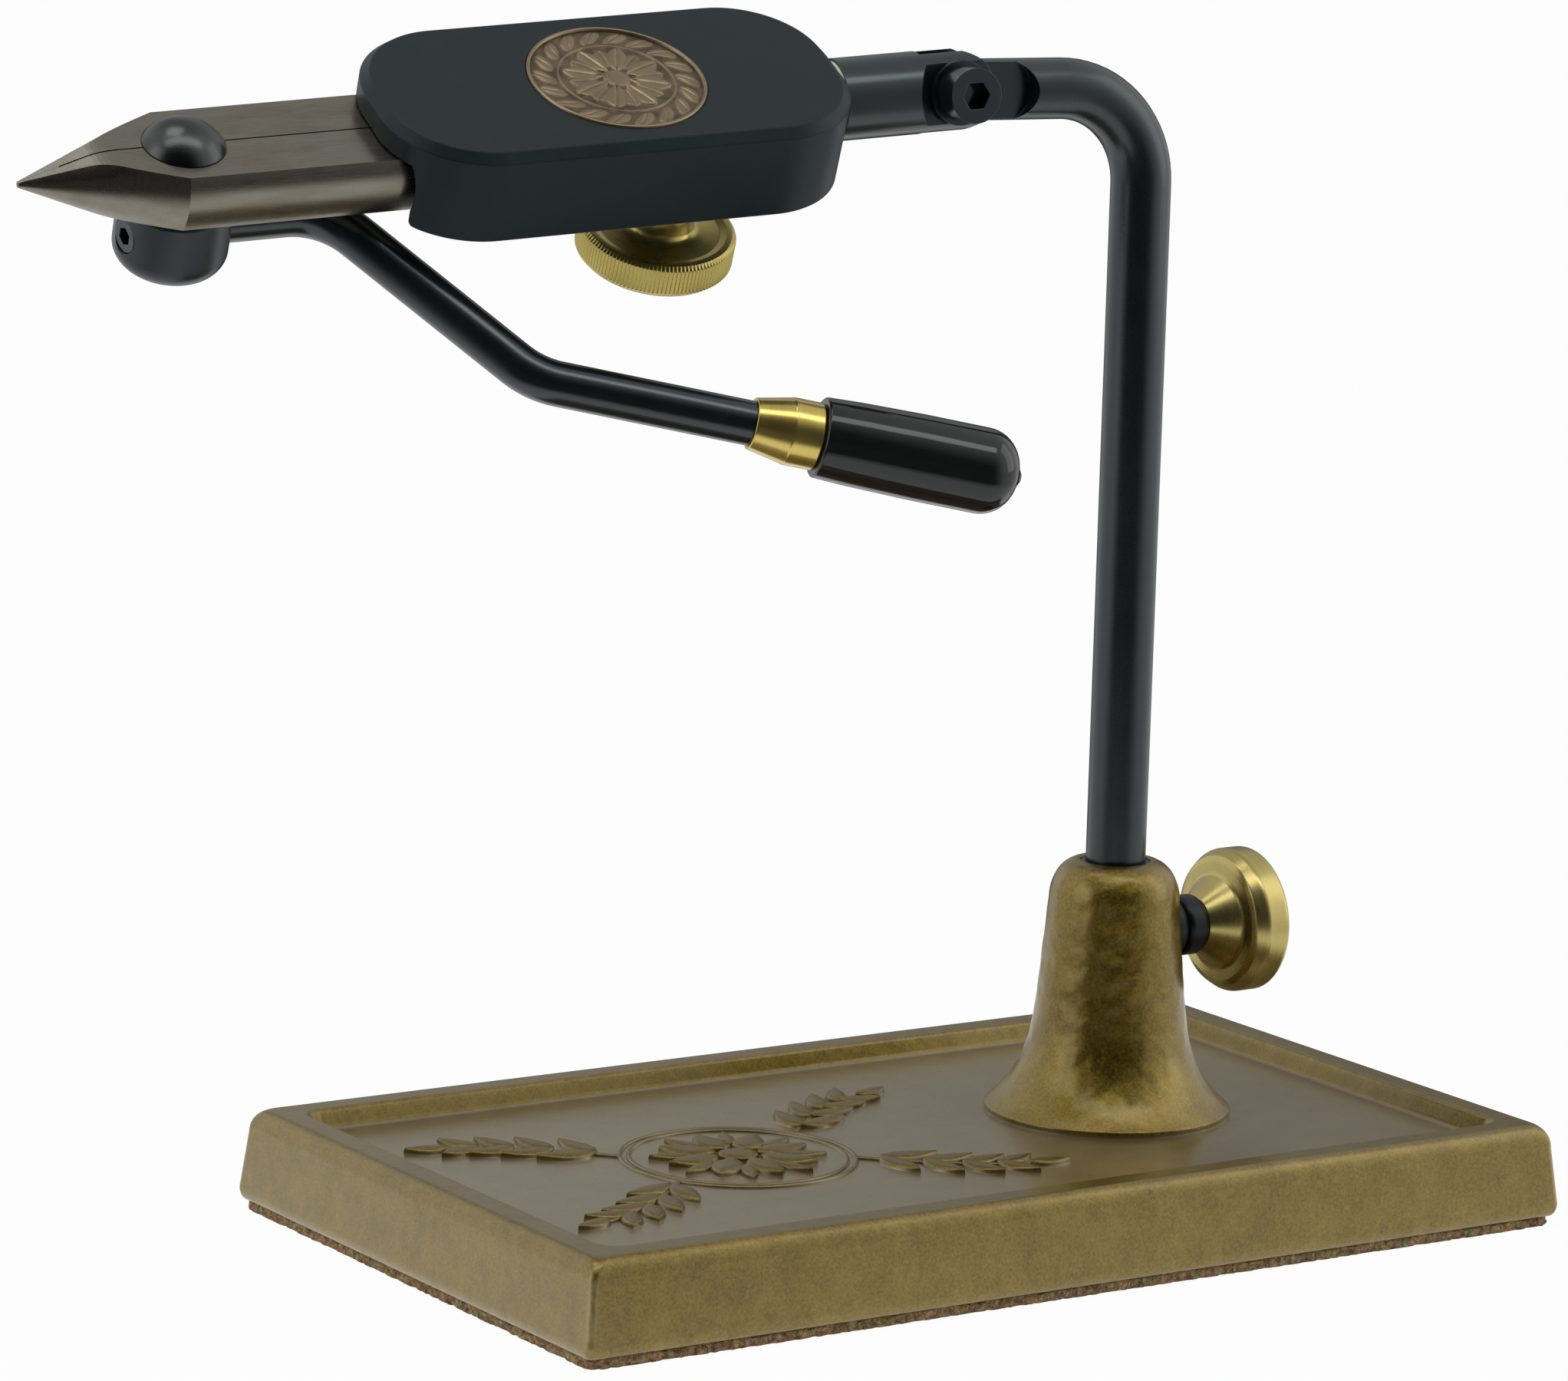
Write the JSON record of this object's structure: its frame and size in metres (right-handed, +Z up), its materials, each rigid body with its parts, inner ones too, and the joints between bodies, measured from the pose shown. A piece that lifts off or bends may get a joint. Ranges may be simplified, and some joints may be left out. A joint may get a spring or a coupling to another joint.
{
  "type": "fly tying vise",
  "caption": "Pedestal fly tying vise: cast tray base, clamped bent stem, tilting and turning head, spring-closed tapered jaws opened by a cam lever.",
  "frame": {"origin": "centre of the cork's underside, on the table", "axes": "+Z up, +X along the base towards the stem, +Y across the base, away from the lever"},
  "size_m": [0.2333, 0.105, 0.1886],
  "materials": {
    "cork": "matte granulated cork",
    "cast_bronze": "speckled bronze-gold paint on a casting",
    "brass": "satin turned",
    "black_steel": "black oxide, satin",
    "head_black": "black oxide, satin",
    "jaw_steel": "turned and milled, satin",
    "bright_steel": "bright",
    "grip_vinyl": "glossy dip coat",
    "rubber": "matte",
    "nylon": "matte",
    "medal_bronze": "antique bronze"
  },
  "bodies": {
    "base": {"cork_pad": "cork", "base_casting": "cast_bronze"},
    "clamp_screw": {"clamp_knob": "brass", "clamp_stud": "brass", "clamp_o_ring": "rubber"},
    "bush": {"stem_bush": "black_steel"},
    "stem": {"stem_arm": "black_steel"},
    "yoke": {"clevis_shaft": "black_steel", "hinge_screw": "black_steel", "hinge_washer": "black_steel", "thrust_washer": "nylon"},
    "head": {"head_body": "head_black", "head_cover": "head_black", "cover_screws": "black_steel", "medallion": "medal_bronze", "jaw_pivot_pins": "bright_steel", "closing_spring": "bright_steel", "brake_shoe": "nylon"},
    "rotation_knob": {"head_knob": "brass", "head_knob_stud": "brass"},
    "lever": {"cam_pin": "black_steel", "lever_collar": "black_steel", "collar_set_screw": "black_steel", "lever_rod": "black_steel", "lever_ferrule": "brass", "lever_grip": "grip_vinyl"},
    "near_jaw": {"jaw_near": "jaw_steel"},
    "far_jaw": {"jaw_far": "jaw_steel"}
  },
  "joints": [
    {"name": "clamp_turn", "type": "hinge", "parent": "base", "child": "clamp_screw", "pos_m": [0.0591, 0, 0.0419], "axis": [1, 0, 0], "range_deg": [0, 360]},
    {"name": "stem_swivel", "type": "hinge", "parent": "base", "child": "bush", "pos_m": [0.0391, 0, 0.0539], "axis": [0, 0, 1], "continuous": true},
    {"name": "stem_height", "type": "slide", "parent": "bush", "child": "stem", "axis": [0, 0, 1], "range_m": [-0.0055, 0.018]},
    {"name": "head_tilt", "type": "hinge", "parent": "stem", "child": "yoke", "pos_m": [0.0047, 0.00453, 0.1766], "axis": [0.1305, 0.9914, 0], "range_deg": [-30, 45]},
    {"name": "head_rotation", "type": "hinge", "parent": "yoke", "child": "head", "pos_m": [-0.05263, 0.01208, 0.17276], "axis": [0.9893, -0.1302, 0.0663], "continuous": true},
    {"name": "knob_turn", "type": "hinge", "parent": "head", "child": "rotation_knob", "pos_m": [-0.0375, 0.01937, 0.1559], "axis": [-0.1184, -0.4486, 0.8859], "range_deg": [-360, 0]},
    {"name": "lever_squeeze", "type": "hinge", "parent": "head", "child": "lever", "pos_m": [-0.11738, 0.02603, 0.15796], "axis": [-0.1184, -0.4486, 0.8859], "range_deg": [0, 17], "stiffness_Nm_per_rad": 1.5, "springref_deg": -8.59},
    {"name": "near_jaw_open", "type": "hinge", "parent": "head", "child": "near_jaw", "pos_m": [-0.0726, 0.0112, 0.16728], "axis": [-0.1184, -0.4486, 0.8859], "range_deg": [0, 0.953]},
    {"name": "far_jaw_open", "type": "hinge", "parent": "head", "child": "far_jaw", "pos_m": [-0.07174, 0.02004, 0.17187], "axis": [-0.1184, -0.4486, 0.8859], "range_deg": [-0.953, 0]}
  ],
  "couplings": [
    {"joint": "near_jaw_open", "follows": "lever_squeeze", "ratio": 0.0555},
    {"joint": "far_jaw_open", "follows": "lever_squeeze", "ratio": -0.0555}
  ]
}
